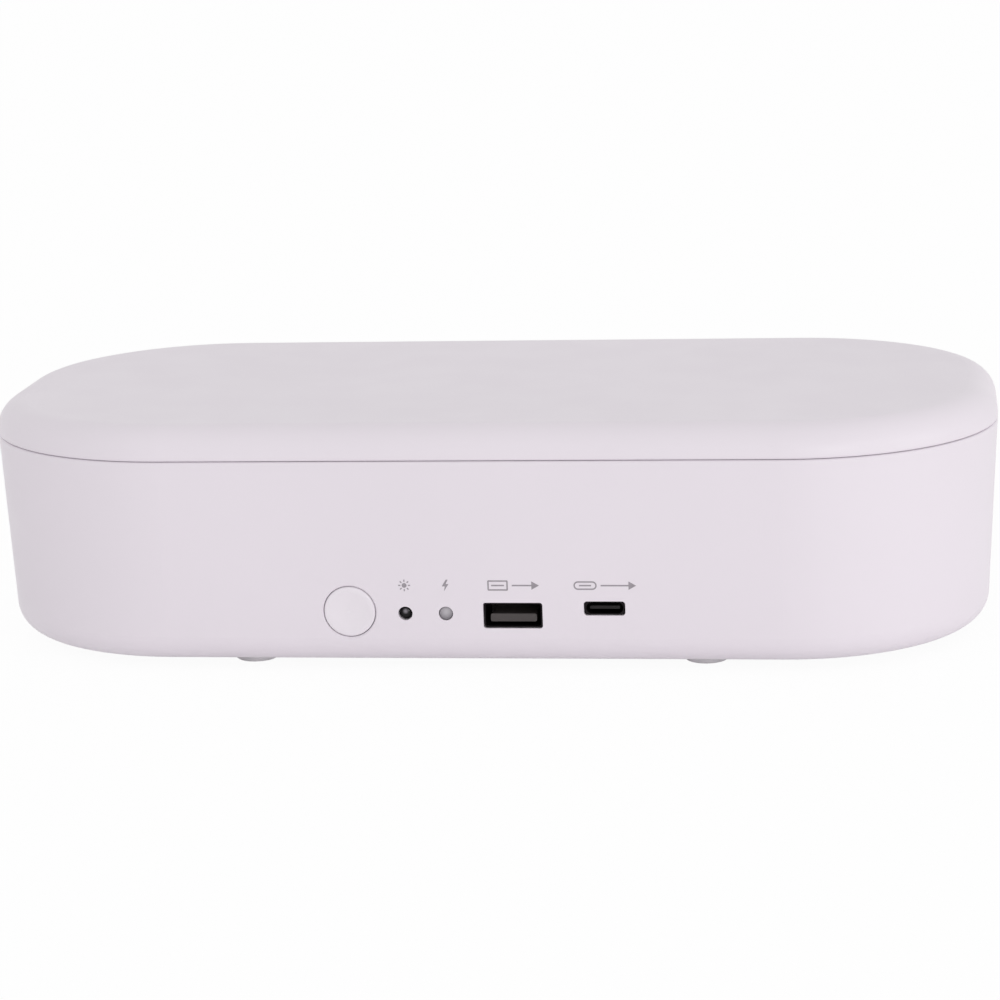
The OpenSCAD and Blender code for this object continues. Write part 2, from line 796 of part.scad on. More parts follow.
module board_link() {
    link_t = 0.65;
    y0 = main_front + main_board_w - 2;
    y1 = power_back - power_board_w + 2;
    color("dimgray") on_table() translate([-power_board_len / 4, y0, z_board - link_t - 0.05])
        cube([link_w, y1 - y0, link_t]);
}

module chip(w, d) {
    chip_h = 1;
    translate([-w / 2, -d / 2, 0]) cube([w, d, chip_h]);
}

module control_chips() {
    color("black") on_table() translate([0, 0, z_board_top]) {
        translate([main_mid[0] - main_board_len / 4, main_mid[1], 0]) chip(8, 8);
        translate([main_mid[0] + main_board_len / 8, main_mid[1], 0]) chip(6, 5);
        translate([main_mid[0] + main_board_len / 3, main_mid[1], 0]) chip(5, 6);
        translate([power_mid[0] + power_board_len / 5, power_mid[1], 0]) chip(6, 5);
    }
}

module driver_coil() {
    rim_t = 0.15 * coil_h;
    wire_r = 0.86 * coil_r;
    color("peru") on_table() translate([-power_board_len / 6, power_mid[1], z_board - coil_h])
        rotate_extrude()
            polygon([[0, 0], [coil_r, 0], [coil_r, rim_t], [wire_r, 1.3 * rim_t],
                [wire_r, coil_h - 1.3 * rim_t], [coil_r, coil_h - rim_t], [coil_r, coil_h], [0, coil_h]]);
}

module capacitors() {
    groove = 0.08 * can_r;
    groove_z = 0.83 * can_h;
    color("slategray") on_table() for (x = [-power_board_len / 3, power_board_len / 12])
        translate([x, power_mid[1], z_board - can_h]) rotate_extrude()
            polygon([[0, 0], [can_r - groove, 0], [can_r, groove], [can_r, groove_z - groove],
                [can_r - groove, groove_z], [can_r, groove_z + groove], [can_r, can_h], [0, can_h]]);
}

module wide_socket_shell() {
    color("silver") on_table() {
        difference() {
            through_y(wide_x, z_wide, wide_front, wide_front + wide_len)
                soft_rectangle(wide_w, wide_h, 0.7);
            through_y(wide_x, z_wide, wide_front - 1, wide_front + wide_len + 1)
                soft_rectangle(wide_w - 2 * socket_sheet, wide_h - 2 * socket_sheet, 0.4);
        }
        difference() {
            wide_legs();
            through_y(wide_x, z_wide, wide_front - 1, wide_front + wide_len + 1)
                soft_rectangle(wide_w - 2 * socket_sheet, wide_h - 2 * socket_sheet, 0.4);
        }
    }
}

tongue_w = wide_w - 2.7;
tongue_h = 1.8;
z_tongue = z_wide - 0.85;
contact_t = 0.15;

module wide_socket_tongue() {
    color("dimgray") on_table() {
        through_y(wide_x, z_wide, wide_front + wide_len - 3.5, wide_front + wide_len)
            soft_rectangle(wide_w - 2 * socket_sheet - 0.04, wide_h - 2 * socket_sheet - 0.04, 0.4);
        through_y(wide_x, z_tongue, wide_front + 1, wide_front + wide_len - 3)
            soft_rectangle(tongue_w, tongue_h, 0.4);
    }
}

module socket_contacts() {
    color("gold") on_table() for (x = [-3.5, -1, 1, 3.5])
        translate([wide_x + x - 0.5, wide_front + 2, z_tongue - tongue_h / 2 - contact_t])
            cube([1, wide_len - 6, contact_t]);
}

module slim_mouth() {
    through_y(slim_x, z_slim, slim_front - 1, slim_front + slim_len + 1)
        slot_shape(slim_mouth_w, slim_mouth_h);
}

module slim_socket_shell() {
    color("silver") on_table() {
        difference() {
            through_y(slim_x, z_slim, slim_front, slim_front + slim_len)
                soft_rectangle(slim_w, slim_h, slim_corner_r);
            slim_mouth();
        }
        difference() {
            slim_legs();
            slim_mouth();
        }
    }
}

module slim_socket_tongue() {
    color("dimgray") on_table() {
        through_y(slim_x, z_slim, slim_front + slim_len - 1.6, slim_front + slim_len)
            slot_shape(slim_mouth_w - 0.04, slim_mouth_h - 0.04);
        through_y(slim_x, z_slim, slim_front + 0.6, slim_front + slim_len - 1)
            soft_rectangle(6.7, 0.7, 0.2);
    }
}

stem_end = 5.8;
plunger_out = 2 * button_travel;
switch_reach = stem_end + plunger_out;

module push_switch() {
    color("black") on_table() difference() {
        translate([button_x - 3, -outer_r(z_button) + switch_reach, z_board - 4.8]) cube([6, 4.2, 4.8]);
        on_front(button_x, z_button)
            translate([0, 0, -switch_reach - 3]) cylinder(r = 1.35, h = 4);
    }
}

module indicator_rod(x, set_back) {
    on_front(x, z_under + indicator_up) rotate_extrude() {
        polygon([[0, -7.5], [indicator_r, -7.5], [indicator_r, -set_back - 0.5],
            [indicator_r - 0.5, -set_back], [0, -set_back]]);
        translate([indicator_r - 0.5, -set_back - 0.5]) circle(0.5);
    }
}

module uv_indicator() {
    color("black") on_table() indicator_rod(uv_lamp_x, uv_lamp_set_back);
}

module charge_indicator() {
    color("gray") on_table() indicator_rod(charge_lamp_x, 0);
}

module indicator_legs() {
    z_leg = z_under + indicator_up + 7.5 * sin(lean_angle);
    y_leg = -outer_r(z_under + indicator_up) + 7.5 * cos(lean_angle);
    color("silver") on_table() for (x = [uv_lamp_x, charge_lamp_x], side = [-0.6, 0.6])
        lead([[x + side, y_leg + 0.05, z_leg], [x + side, y_leg + 1.6, z_leg],
            [x + side, y_leg + 1.6, z_board - 0.02]], 0.25);
}

module inlet_body() {
    color("black") on_table() difference() {
        translate([inlet_x - inlet_w / 2, inlet_mouth_y - inlet_len, z_board - inlet_h])
            cube([inlet_w, inlet_len, inlet_h]);
        through_y(inlet_x, z_inlet, inlet_mouth_y - inlet_len + 2.5, inlet_mouth_y + 1) circle(inlet_bore_r);
        through_y(inlet_x, z_inlet, inlet_mouth_y - inlet_len - 1, inlet_mouth_y) circle(inlet_pin_r + 0.02);
    }
}

module inlet_pin() {
    color("silver") on_table() {
        through_y(inlet_x, z_inlet, inlet_mouth_y - inlet_len, inlet_mouth_y - 1.4) circle(inlet_pin_r);
        translate([inlet_x, inlet_mouth_y - 1.4, z_inlet]) sphere(inlet_pin_r);
    }
}

module magnet_block(y, z) {
    for (x = [-magnet_x, magnet_x])
        translate([x - magnet[0] / 2, y - magnet[1] / 2, z]) cube(magnet);
}

module case_magnets() {
    color("silver") on_table() magnet_block(-pocket_r, z_ledge - magnet[2]);
}

module lid_sensor() {
    color("black") on_table()
        translate([-sensor[0] / 2, -pocket_r - sensor[1] / 2, z_ledge - sensor[2]]) cube(sensor);
}

module sensor_lead() {
    color("dimgray") on_table() lead(sensor_lead_path, small_lead_r);
}

module floor_lamp_lead() {
    x = main_mid[0] + main_board_len / 4;
    y0 = main_front + main_board_w - 6;
    y1 = -lamp_board_w / 2 + 2;
    z0 = z_board_top + small_lead_r + elbow_swell + 0.05;
    color("dimgray") on_table()
        lead([[x, y0, z0], [x, y1, z0], [x, y1, z_floor_lamp_board - 0.02]], small_lead_r);
}

module case_lead() {
    color("dimgray") on_table() lead(case_lead_path, lead_r);
}

module case_screws() {
    color("silver") on_table() for (at = tub_posts)
        translate([at[0], at[1], z_under + counterbore_h]) rotate([180, 0, 0])
            pan_screw(case_screw_r, case_screw_len, pan_r, pan_h);
}

module rubber_feet() {
    foot_top = foot_h + foot_recess;
    color("gray") on_table() each_foot() rotate_extrude() {
        polygon([[0, 0], [foot_r - 0.6, 0], [foot_r, 0.6], [foot_r, foot_top], [0, foot_top]]);
        translate([foot_r - 0.6, 0.6]) circle(0.6);
    }
}

module hinge_pins() {
    color("silver") on_table() each_hinge() along_hinge(-pin_len / 2, pin_len / 2) circle(pin_r);
}

// Lid: shell, liner and the lamps between them.
module lid_shell_section() {
    difference() {
        crowned_section(z_lid, z_top, half_w, lid_edge_r);
        crowned_section(z_lid - 1, lid_inner_top, half_w - lid_wall, lid_edge_r - lid_wall);
        difference() {
            translate([half_w - seam_edge_r, z_lid - seam_edge_r]) square(2 * seam_edge_r);
            translate([half_w - seam_edge_r, z_lid + seam_edge_r]) circle(seam_edge_r);
            translate([half_w - seam_edge_r, z_lid + seam_edge_r]) square(2 * seam_edge_r);
        }
    }
}

module lid_pads() {
    pad_w = 2 * (case_knuckle_x + case_knuckle_w + 1);
    pad_from = max(z_lid, z_liner_top + 0.1);
    pad_h = z_lid + lid_h - lid_wall - 1.4 - pad_from;
    for (x = [-hinge_x, hinge_x])
        translate([x - pad_w / 2, half_w - lid_wall - 1.2, pad_from]) cube([pad_w, 1.4, pad_h]);
    translate([-lead_lug_w - 1.5, half_w - lid_wall - 1.2, pad_from]) cube([2 * lead_lug_w + 3, 1.4, pad_h]);
}

module lid_shell() {
    color("lavender") on_table() difference() {
        union() {
            case_sweep() lid_shell_section();
            lid_pads();
            each_hinge() lid_knuckle_span() lid_knuckle_section();
            along_hinge(knuckle_gap, lead_lug_w) lid_knuckle_section();
            for (at = liner_screw_at)
                translate([at[0], at[1], z_liner_top])
                    cylinder(r = liner_boss_r, h = lid_inner_top - z_liner_top + skin);
            each_corner(lamp_screw_at[0], lamp_screw_at[1])
                translate([0, 0, z_lid_board_top])
                    cylinder(r = lamp_boss_r, h = lid_inner_top - z_lid_board_top + skin);
        }
        each_hinge() case_knuckle_spans(knuckle_gap) circle(notch_r);
        along_hinge(-lead_lug_w - knuckle_gap, knuckle_gap) circle(notch_r);
        each_hinge() lid_knuckle_span(1) circle(pin_r + screw_gap);
        lead([[-lead_turn_x, hinge_y, hinge_z], lid_lead_path[1], lid_lead_path[2],
            [lead_turn_x, half_w - 6, lid_lead_z]], lead_bore_r);
        for (at = liner_screw_at)
            translate([at[0], at[1], z_liner])
                cylinder(r = small_screw_r + screw_gap, h = liner_screw_len + 0.3);
        each_corner(lamp_screw_at[0], lamp_screw_at[1])
            translate([0, 0, z_lid_board]) cylinder(r = small_screw_r + screw_gap, h = lamp_screw_len + 0.2);
    }
}

module lid_liner_section() {
    translate([0, z_liner]) square([liner_edge_r, liner_t]);
    translate([lip_r - lip_t, z_liner - lip_h]) square([lip_t, lip_h + skin]);
}

module magnet_frame() {
    for (x = [-magnet_x, magnet_x])
        translate([x, -pocket_r + 1.4, z_liner_top]) difference() {
            translate([0, 0, 0.75 - skin]) cube([magnet[0] + 2, magnet[1] + 2, 1.5], center = true);
            translate([0, 0, 1]) cube([magnet[0] + 0.3, magnet[1] + 0.3, 4], center = true);
        }
}

module lid_liner() {
    color("gainsboro") on_table() difference() {
        union() {
            case_sweep() lid_liner_section();
            translate([0, 0, z_liner_top - skin]) linear_extrude(height = 1)
                slot_shape(window_len + 2.4, window_w + 2.4);
            magnet_frame();
        }
        translate([0, 0, z_liner_top])
            linear_extrude(height = 3) slot_shape(window_len + 0.2, window_w + 0.2);
        translate([0, 0, z_liner - 1])
            linear_extrude(height = liner_t + 2)
                slot_shape(window_len - 2 * window_lip, window_w - 2 * window_lip);
        for (at = liner_screw_at)
            translate([at[0], at[1], z_liner - 1]) cylinder(r = small_screw_r + 0.2, h = liner_t + 2);
    }
}

module lid_window() {
    color("lightcyan") on_table() window_plate(z_liner_top);
}

module lid_lamp_board() {
    color("seagreen") on_table() lamp_board(z_lid_board);
}

module lid_uv_lamps() {
    color("khaki") on_table() lamp_row(z_lid_lamp);
}

module lid_board_screws() {
    color("silver") on_table() lamp_screws(z_lid_board);
}

module liner_screws() {
    color("silver") on_table() for (at = liner_screw_at)
        translate([at[0], at[1], z_liner]) rotate([180, 0, 0])
            pan_screw(small_screw_r, liner_screw_len, small_pan_r, small_pan_h);
}

module lid_magnets() {
    color("silver") on_table() magnet_block(-pocket_r + 1.4, z_liner_top);
}

module lid_lead() {
    color("dimgray") on_table() lead(lid_lead_path, lead_r);
}

// Button, drawn with Z pointing out of the front face.
module power_button() {
    dish_r = button_r - 1.2;
    dish_depth = 0.35;
    ball_r = (dish_r * dish_r + dish_depth * dish_depth) / (2 * dish_depth);
    color("lavender") on_table() on_front(button_x, z_button) difference() {
        union() {
            rotate_extrude() {
                polygon([[0, -wall - 0.5], [button_r, -wall - 0.5], [button_r, -0.5],
                    [button_r - 0.5, 0], [0, 0]]);
                translate([button_r - 0.5, -0.5]) circle(0.5);
            }
            translate([0, 0, -wall - 1.2]) cylinder(r = button_r + button_gap + flange_cover, h = 1);
            translate([0, 0, -stem_end]) cylinder(r = 2.2, h = stem_end - wall);
        }
        translate([0, 0, ball_r - dish_depth]) sphere(ball_r, $fn = 96);
    }
}

module switch_plunger() {
    color("black") on_table() on_front(button_x, z_button)
        translate([0, 0, -switch_reach - plunger_out]) cylinder(r = 1.3, h = 2 * plunger_out);
}

base_shell();
chamber_tub();
floor_window();
floor_lamp_board();
floor_uv_lamps();
floor_board_screws();
main_board();
power_board();
board_screws();
board_link();
control_chips();
driver_coil();
capacitors();
wide_socket_shell();
wide_socket_tongue();
slim_socket_shell();
slim_socket_tongue();
socket_contacts();
push_switch();
uv_indicator();
charge_indicator();
indicator_legs();
inlet_body();
inlet_pin();
lid_sensor();
sensor_lead();
floor_lamp_lead();
case_lead();
case_magnets();
case_screws();
rubber_feet();
hinge_pins();
lid_shell();
lid_liner();
lid_window();
lid_lamp_board();
lid_uv_lamps();
lid_board_screws();
liner_screws();
lid_magnets();
lid_lead();
power_button();
switch_plunger();
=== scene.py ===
import bpy, bmesh, math
from mathutils import Matrix, Vector


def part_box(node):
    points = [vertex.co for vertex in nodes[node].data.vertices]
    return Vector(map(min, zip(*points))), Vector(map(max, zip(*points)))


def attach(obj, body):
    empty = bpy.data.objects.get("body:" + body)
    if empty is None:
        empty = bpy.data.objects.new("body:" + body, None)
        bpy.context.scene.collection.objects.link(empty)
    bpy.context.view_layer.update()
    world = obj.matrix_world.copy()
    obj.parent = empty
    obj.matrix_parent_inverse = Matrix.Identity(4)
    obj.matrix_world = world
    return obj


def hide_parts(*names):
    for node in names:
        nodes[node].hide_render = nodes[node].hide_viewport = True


# The look of a round-cornered ultraviolet box for phones: satin lilac-white mouldings, a coated
# chamber with lamp windows, a push button, two indicators and two charging sockets.
# Everything is in metres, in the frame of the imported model, unless a note says otherwise.

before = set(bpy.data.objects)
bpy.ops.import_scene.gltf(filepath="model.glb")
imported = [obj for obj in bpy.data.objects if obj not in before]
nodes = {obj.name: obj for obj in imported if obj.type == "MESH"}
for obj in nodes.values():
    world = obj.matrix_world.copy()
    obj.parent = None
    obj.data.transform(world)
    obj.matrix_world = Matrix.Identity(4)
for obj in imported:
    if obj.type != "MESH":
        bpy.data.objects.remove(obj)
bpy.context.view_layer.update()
print("frame loaded:", len(nodes), "nodes")

mm = 0.001
white = (1, 1, 1, 1)


def screenColour(red, green, blue):
    # a colour as it is read off a screen, 0 to 255, made linear for the shaders
    def linear(level):
        share = level / 255
        return share / 12.92 if share <= 0.04045 else ((share + 0.055) / 1.055) ** 2.4
    return (linear(red), linear(green), linear(blue), 1)


# the camera stands where the photo was taken from; its angles are in radians
photoCamera = {
    "place": (0.0998, -0.73145, 0.19447),
    "turn": 0.13618,                 # to the left
    "tilt": 0.2235,                  # downwards
    "roll": -0.03285,
    "lens": 112.85, "sensor": 36.0,  # millimetres
    "near": 0.02, "far": 40.0,
}


def makeCamera(look):
    turn, tilt, roll = look["turn"], look["tilt"], look["roll"]
    right = Vector((math.cos(turn), math.sin(turn), 0))
    ahead = Vector((-math.sin(turn) * math.cos(tilt), math.cos(turn) * math.cos(tilt), -math.sin(tilt)))
    up = right.cross(ahead)
    across = right * math.cos(roll) + up * math.sin(roll)
    upward = up * math.cos(roll) - right * math.sin(roll)
    data = bpy.data.cameras.new("photoCamera")
    data.lens = look["lens"]
    data.sensor_width = look["sensor"]
    data.clip_start = look["near"]
    data.clip_end = look["far"]
    camera = bpy.data.objects.new("photoCamera", data)
    bpy.context.collection.objects.link(camera)
    turned = Matrix((across, upward, -ahead)).transposed().to_4x4()
    camera.matrix_world = Matrix.Translation(Vector(look["place"])) @ turned
    bpy.context.scene.camera = camera


makeCamera(photoCamera)
print("camera placed")


# small helpers for shader nodes
def feed(tree, socket, value):
    # a socket takes a fixed value, or what another node gives
    if isinstance(value, bpy.types.NodeSocket):
        tree.links.new(value, socket)
    else:
        socket.default_value = value


def maths(tree, operation, first, second=None):
    made = tree.nodes.new("ShaderNodeMath")
    made.operation = operation
    feed(tree, made.inputs[0], first)
    if second is not None:
        feed(tree, made.inputs[1], second)
    return made.outputs[0]


# floor, white surroundings and soft studio light
studio = {
    "floorSize": 14.0,
    "floorDrop": 0.05 * mm,    # so that the floor and the feet don't share a plane
    "floorColour": screenColour(253, 252, 253),
    "floorGlow": 0.95,         # share of plain white that the camera sees
    "ambientStrength": 0.805,
    "aim": (0, 0, 0.03),
}
lamps = {
    "sideLamp": {"place": (2.0, -0.5, 0.3), "size": 0.9, "power": 4.4},
    "frontLamp": {"place": (0.9, -1.85, 0.16), "size": 0.8, "power": 9.4},
}


def seenDirectly(tree):
    # 1 for rays that show the surroundings as such: camera, mirror and see-through rays
    path = tree.nodes.new("ShaderNodeLightPath")
    seen = path.outputs["Is Camera Ray"]
    for kind in ("Is Glossy Ray", "Is Transmission Ray"):
        seen = maths(tree, "MAXIMUM", seen, path.outputs[kind])
    return seen


def glowing(tree, kind, strength):
    made = tree.nodes.new(kind)
    made.inputs["Color"].default_value = white
    made.inputs["Strength"].default_value = strength
    return made


def showMix(tree, share, one, other, outputKind):
    mix = tree.nodes.new("ShaderNodeMixShader")
    out = tree.nodes.new(outputKind)
    tree.links.new(share, mix.inputs[0])
    tree.links.new(one.outputs[0], mix.inputs[1])
    tree.links.new(other.outputs[0], mix.inputs[2])
    tree.links.new(mix.outputs[0], out.inputs["Surface"])


def makeWorld(look):
    world = bpy.data.worlds.new("studioWorld")
    bpy.context.scene.world = world
    world.use_nodes = True
    tree = world.node_tree
    tree.nodes.clear()
    ambient = glowing(tree, "ShaderNodeBackground", look["ambientStrength"])
    backdrop = glowing(tree, "ShaderNodeBackground", 1.0)
    showMix(tree, seenDirectly(tree), ambient, backdrop, "ShaderNodeOutputWorld")


def makeFloor(look):
    half = look["floorSize"] / 2
    mesh = bpy.data.meshes.new("studioFloor")
    mesh.from_pydata([(-half, -half, 0), (half, -half, 0), (half, half, 0), (-half, half, 0)],
                     [], [(0, 1, 2, 3)])
    floor = bpy.data.objects.new("studioFloor", mesh)
    bpy.context.collection.objects.link(floor)
    floor.location.z = -look["floorDrop"]
    mat = bpy.data.materials.new("paleFloor")
    mat.use_nodes = True
    tree = mat.node_tree
    tree.nodes.clear()
    matt = tree.nodes.new("ShaderNodeBsdfDiffuse")
    matt.inputs["Color"].default_value = look["floorColour"]
    glow = glowing(tree, "ShaderNodeEmission", 1.0)
    share = maths(tree, "MULTIPLY", seenDirectly(tree), look["floorGlow"])
    showMix(tree, share, matt, glow, "ShaderNodeOutputMaterial")
    floor.data.materials.append(mat)


def makeLamp(name, look, aim):
    data = bpy.data.lights.new(name, "AREA")
    data.shape = "DISK"
    data.size = look["size"]
    data.energy = look["power"]
    lamp = bpy.data.objects.new(name, data)
    bpy.context.collection.objects.link(lamp)
    lamp.location = look["place"]
    toward = Vector(aim) - Vector(look["place"])
    lamp.rotation_mode = "QUATERNION"
    lamp.rotation_quaternion = toward.to_track_quat("-Z", "Y")


makeWorld(studio)
makeFloor(studio)
for name, look in lamps.items():
    makeLamp(name, look, studio["aim"])
bpy.context.scene.view_settings.view_transform = "Standard"
print("studio built")


# what the finishes share; a noise has one to three layers of detail, and most of it lies in a range
softNoise, plainNoise, fineNoise = 1, 2, 3
noiseRange = (0.3, 0.7)


def startFinish(name):
    mat = bpy.data.materials.new(name)
    mat.use_nodes = True
    tree = mat.node_tree
    coords = tree.nodes.new("ShaderNodeTexCoord")
    return mat, tree, tree.nodes["Principled BSDF"], coords.outputs["Object"]


def noise(tree, where, scale, detail, stretch=None):
    if stretch:
        mapping = tree.nodes.new("ShaderNodeMapping")
        mapping.inputs["Scale"].default_value = stretch
        tree.links.new(where, mapping.inputs["Vector"])
        where = mapping.outputs[0]
    made = tree.nodes.new("ShaderNodeTexNoise")
    made.inputs["Scale"].default_value = scale
    made.inputs["Detail"].default_value = detail
    tree.links.new(where, made.inputs["Vector"])
    return made.outputs["Fac"]


def spread(tree, source, low, high, between=noiseRange):
    made = tree.nodes.new("ShaderNodeMapRange")
    made.interpolation_type = "SMOOTHSTEP"
    made.inputs["From Min"].default_value = between[0]
    made.inputs["From Max"].default_value = between[1]
    made.inputs["To Min"].default_value = low
    made.inputs["To Max"].default_value = high
    tree.links.new(source, made.inputs["Value"])
    return made.outputs[0]


def blendColours(tree, factor, one, other):
    made = tree.nodes.new("ShaderNodeMix")
    made.data_type = "RGBA"
    tree.links.new(factor, made.inputs[0])
    feed(tree, made.inputs[6], one)
    feed(tree, made.inputs[7], other)
    return made.outputs[2]


def relief(tree, height, distance, strength=1.0, under=None):
    made = tree.nodes.new("ShaderNodeBump")
    made.inputs["Distance"].default_value = distance
    made.inputs["Strength"].default_value = strength
    tree.links.new(height, made.inputs["Height"])
    if under:
        tree.links.new(under, made.inputs["Normal"])
    return made.outputs[0]


def tinted(colour, by):
    return tuple(min(1, c * by) for c in colour[:3]) + (1,)


def paint(tree, shader, factor, one, other):
    tree.links.new(blendColours(tree, factor, one, other), shader.inputs["Base Color"])


def roughen(tree, shader, pattern, low, high, between=noiseRange):
    tree.links.new(spread(tree, pattern, low, high, between), shader.inputs["Roughness"])


def emboss(tree, shader, height, distance, strength=1.0, under=None):
    tree.links.new(relief(tree, height, distance, strength, under), shader.inputs["Normal"])


# moulded plastics: a fine spark-eroded grain, faint flow variation and a soft sheen
moulding = {"patchFiner": 6, "waveFiner": 2, "roughSwing": 0.03, "grainStrength": 0.6, "ior": 1.49}
mouldedLooks = {
    "shellPlastic": {
        "colour": screenColour(228, 221, 228), "cloud": 0.008, "cloudScale": 14.0, "rough": 0.42,
        "grainScale": 5200.0, "grainDepth": 0.006 * mm, "waveDepth": 0.02 * mm, "specular": 0.35},
    "buttonPlastic": {
        "colour": screenColour(231, 225, 231), "cloud": 0.006, "cloudScale": 30.0, "rough": 0.36,
        "grainScale": 6500.0, "grainDepth": 0.004 * mm, "waveDepth": 0.01 * mm, "specular": 0.4},
    "blackMoulding": {
        "colour": screenColour(24, 23, 24), "cloud": 0.08, "cloudScale": 60.0, "rough": 0.5,
        "grainScale": 4000.0, "grainDepth": 0.01 * mm, "waveDepth": 0.01 * mm, "specular": 0.5},
    "tonguePlastic": {
        "colour": screenColour(66, 60, 60), "cloud": 0.08, "cloudScale": 80.0, "rough": 0.45,
        "grainScale": 4000.0, "grainDepth": 0.01 * mm, "waveDepth": 0.01 * mm, "specular": 0.5},
    "slimTonguePlastic": {
        "colour": screenColour(36, 33, 34), "cloud": 0.08, "cloudScale": 80.0, "rough": 0.5,
        "grainScale": 4000.0, "grainDepth": 0.01 * mm, "waveDepth": 0.01 * mm, "specular": 0.2},
    "chipPlastic": {
        "colour": screenColour(30, 30, 32), "cloud": 0.1, "cloudScale": 120.0, "rough": 0.62,
        "grainScale": 3000.0, "grainDepth": 0.015 * mm, "waveDepth": 0.01 * mm, "specular": 0.5},
    "cableSheath": {
        "colour": screenColour(38, 38, 40), "cloud": 0.1, "cloudScale": 90.0, "rough": 0.55,
        "grainScale": 2600.0, "grainDepth": 0.02 * mm, "waveDepth": 0.03 * mm, "specular": 0.5},
}


def mouldedFinish(name, look):
    mat, tree, shader, where = startFinish(name)
    colour, rough, cloudScale = look["colour"], look["rough"], look["cloudScale"]
    cloud = spread(tree, noise(tree, where, cloudScale, fineNoise), 0, 1)
    paint(tree, shader, cloud, tinted(colour, 1 - look["cloud"]), tinted(colour, 1 + look["cloud"]))
    patch = noise(tree, where, cloudScale * moulding["patchFiner"], plainNoise)
    roughen(tree, shader, patch, rough - moulding["roughSwing"], rough + moulding["roughSwing"])
    grain = noise(tree, where, look["grainScale"], plainNoise)
    wave = noise(tree, where, cloudScale * moulding["waveFiner"], softNoise)
    slow = relief(tree, wave, look["waveDepth"])
    emboss(tree, shader, grain, look["grainDepth"], moulding["grainStrength"], slow)
    shader.inputs["IOR"].default_value = moulding["ior"]
    shader.inputs["Specular IOR Level"].default_value = look["specular"]
    return mat


# metals: drawn or brushed along one way, with a little tarnish
brushing = {"tarnish": 0.88, "roughDown": 0.06, "roughUp": 0.08, "strength": 0.5}
metalLooks = {
    "screwSteel": {"colour": screenColour(196, 197, 200), "rough": 0.3, "streakScale": 900.0,
                   "stretch": (1, 1, 0.3), "depth": 0.01 * mm},
    "pinSteel": {"colour": screenColour(206, 206, 208), "rough": 0.2, "streakScale": 700.0,
                 "stretch": (0.05, 1, 1), "depth": 0.004 * mm},
    "socketMetal": {"colour": screenColour(38, 35, 37), "rough": 0.5, "streakScale": 600.0,
                    "stretch": (1, 0.1, 1), "depth": 0.004 * mm},
    "contactPlating": {"colour": screenColour(214, 176, 96), "rough": 0.24, "streakScale": 800.0,
                       "stretch": (1, 0.1, 1), "depth": 0.003 * mm},
    "magnetPlating": {"colour": screenColour(190, 190, 194), "rough": 0.22, "streakScale": 500.0,
                      "stretch": (0.2, 1, 1), "depth": 0.004 * mm},
    "canAluminium": {"colour": screenColour(186, 188, 194), "rough": 0.3, "streakScale": 800.0,
                     "stretch": (1, 1, 0.1), "depth": 0.006 * mm},
}


def metalFinish(name, look):
    mat, tree, shader, where = startFinish(name)
    colour, rough = look["colour"], look["rough"]
    streak = noise(tree, where, look["streakScale"], fineNoise, look["stretch"])
    worn = spread(tree, streak, 0, 1)
    paint(tree, shader, worn, tinted(colour, brushing["tarnish"]), colour)
    roughen(tree, shader, streak, rough - brushing["roughDown"], rough + brushing["roughUp"])
    emboss(tree, shader, streak, look["depth"], brushing["strength"])
    shader.inputs["Metallic"].default_value = 1.0
    return mat


finishes = {name: mouldedFinish(name, look) for name, look in mouldedLooks.items()}
finishes.update({name: metalFinish(name, look) for name, look in metalLooks.items()})


# the chamber's aluminium coat: bright, with the soft ripple of the moulding under it
coatLook = {
    "colour": screenColour(214, 214, 218), "hazeScale": 22, "haze": 0.93, "metallic": 0.85,
    "rough": 0.34, "roughDown": 0.05, "roughUp": 0.07, "patchScale": 60, "patchRange": (0.2, 0.8),
    "rippleScale": 40.0, "ripple": 0.05 * mm,
    "speckScale": 1800.0, "speck": 0.006 * mm, "speckStrength": 0.7,
}


def coatedFinish(name, look):
    mat, tree, shader, where = startFinish(name)
    colour, rough = look["colour"], look["rough"]
    haze = spread(tree, noise(tree, where, look["hazeScale"], softNoise), 0, 1, look["patchRange"])
    paint(tree, shader, haze, tinted(colour, look["haze"]), colour)
    patch = noise(tree, where, look["patchScale"], softNoise)
    roughen(tree, shader, patch, rough - look["roughDown"], rough + look["roughUp"], look["patchRange"])
    slow = relief(tree, noise(tree, where, look["rippleScale"], softNoise), look["ripple"])
    speck = noise(tree, where, look["speckScale"], plainNoise)
    emboss(tree, shader, speck, look["speck"], look["speckStrength"], slow)
    shader.inputs["Metallic"].default_value = look["metallic"]
    return mat


finishes["chamberCoat"] = coatedFinish("chamberCoat", coatLook)


# clear lamp windows with faint polish marks
glassLook = {"colour": (0.97, 0.99, 0.99, 1), "ior": 1.46, "rough": 0.03, "roughUp": 0.05,
             "polishScale": 260.0, "polishStretch": (1, 6, 1)}


def windowFinish(name, look):
    mat, tree, shader, where = startFinish(name)
    shader.inputs["Base Color"].default_value = look["colour"]
    shader.inputs["Transmission Weight"].default_value = 1.0
    shader.inputs["IOR"].default_value = look["ior"]
    polish = noise(tree, where, look["polishScale"], fineNoise, look["polishStretch"])
    roughen(tree, shader, polish, look["rough"], look["rough"] + look["roughUp"])
    return mat


finishes["windowGlass"] = windowFinish("windowGlass", glassLook)


